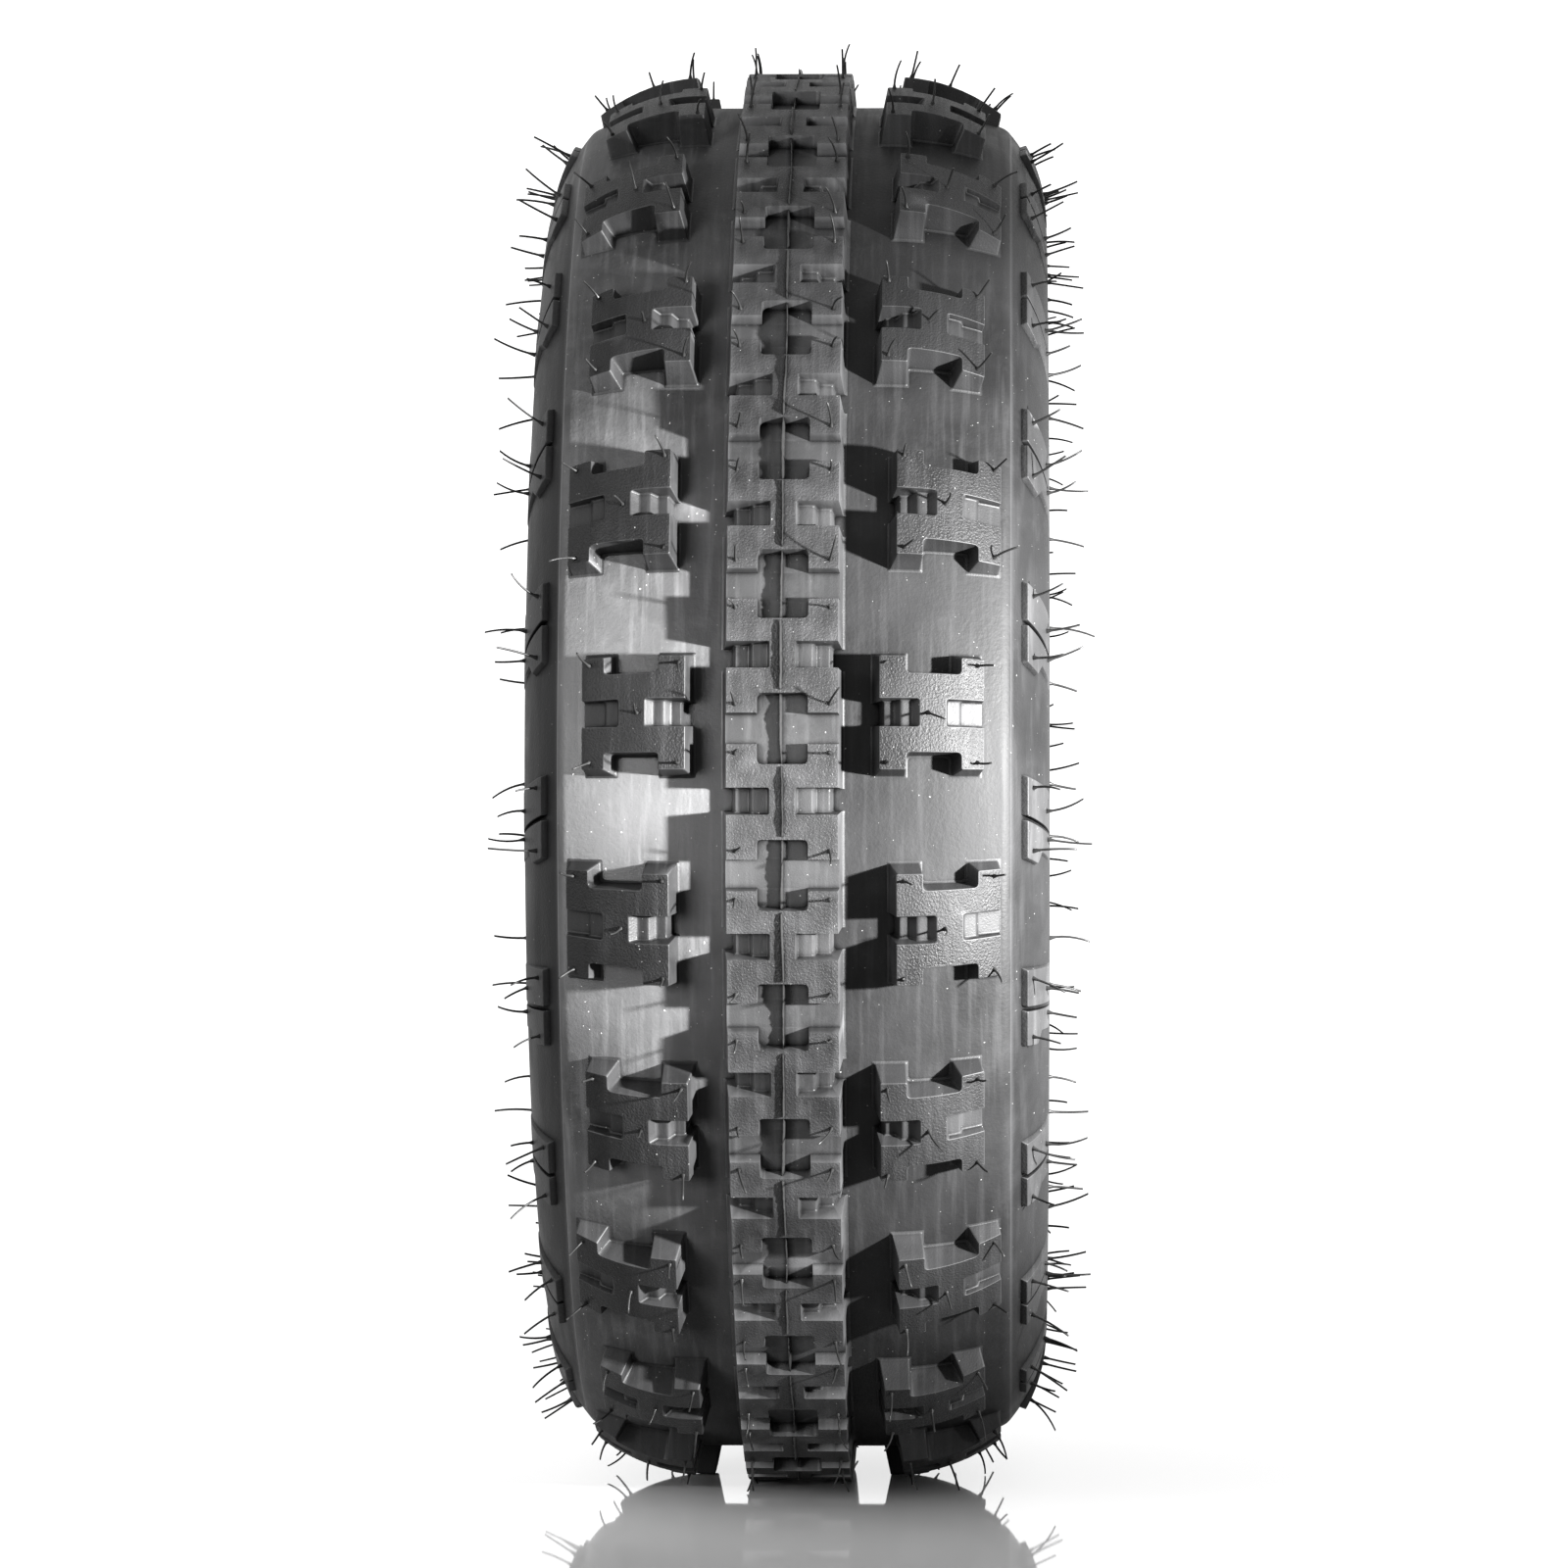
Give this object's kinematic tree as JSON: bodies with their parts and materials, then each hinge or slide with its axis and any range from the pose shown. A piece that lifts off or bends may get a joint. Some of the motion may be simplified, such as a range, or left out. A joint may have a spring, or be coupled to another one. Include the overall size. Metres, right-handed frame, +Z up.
{
  "type": "off-road tyre",
  "caption": "Front knobby off-road tyre for a small quad: centre rib, stepped H-shaped shoulder knobs, low sidewall lugs, moulding hairs, and two press-fit bead seats.",
  "frame": {"origin": "wheel centre: on the axle, midway between the beads", "axes": "+Y along the axle towards the right sidewall, +Z up, the tyre stands on its tread at the lowest Z"},
  "size_m": [0.547, 0.2084, 0.5396],
  "materials": {
    "tread_rubber": "satin moulded rubber, dusty and scuffed",
    "sidewall_rubber": "satin moulded rubber",
    "trim_rubber": "soft rubber hairs and flash",
    "chafer_rubber": "matte rubber with a fabric print",
    "liner_rubber": "matte rubber with mould lines",
    "bead_rubber": "hard rubber",
    "ply_fabric": "rubbered nylon cord",
    "bead_wire": "bronze-coated steel wire"
  },
  "bodies": {
    "root": {"inner_liner": "liner_rubber", "body_ply_inner": "ply_fabric", "body_ply_outer": "ply_fabric", "bead_wires_left": "bead_wire", "bead_wires_right": "bead_wire", "bead_rubber_left": "bead_rubber", "bead_rubber_right": "bead_rubber", "bead_filler_left": "bead_rubber", "bead_filler_right": "bead_rubber", "chafer_left": "chafer_rubber", "chafer_right": "chafer_rubber", "sidewall_left": "sidewall_rubber", "sidewall_right": "sidewall_rubber", "tread_base": "tread_rubber", "tread_wing_left": "tread_rubber", "tread_wing_right": "tread_rubber", "centre_rib": "tread_rubber", "parting_flash": "trim_rubber", "near_knobs_left": "tread_rubber", "near_knobs_right": "tread_rubber", "far_knobs_left": "tread_rubber", "far_knobs_right": "tread_rubber", "sidewall_lugs_left": "sidewall_rubber", "sidewall_lugs_right": "sidewall_rubber", "rib_hairs": "trim_rubber", "knob_hairs_left": "trim_rubber", "knob_hairs_right": "trim_rubber", "side_hairs_left": "trim_rubber", "side_hairs_right": "trim_rubber"}
  },
  "joints": []
}
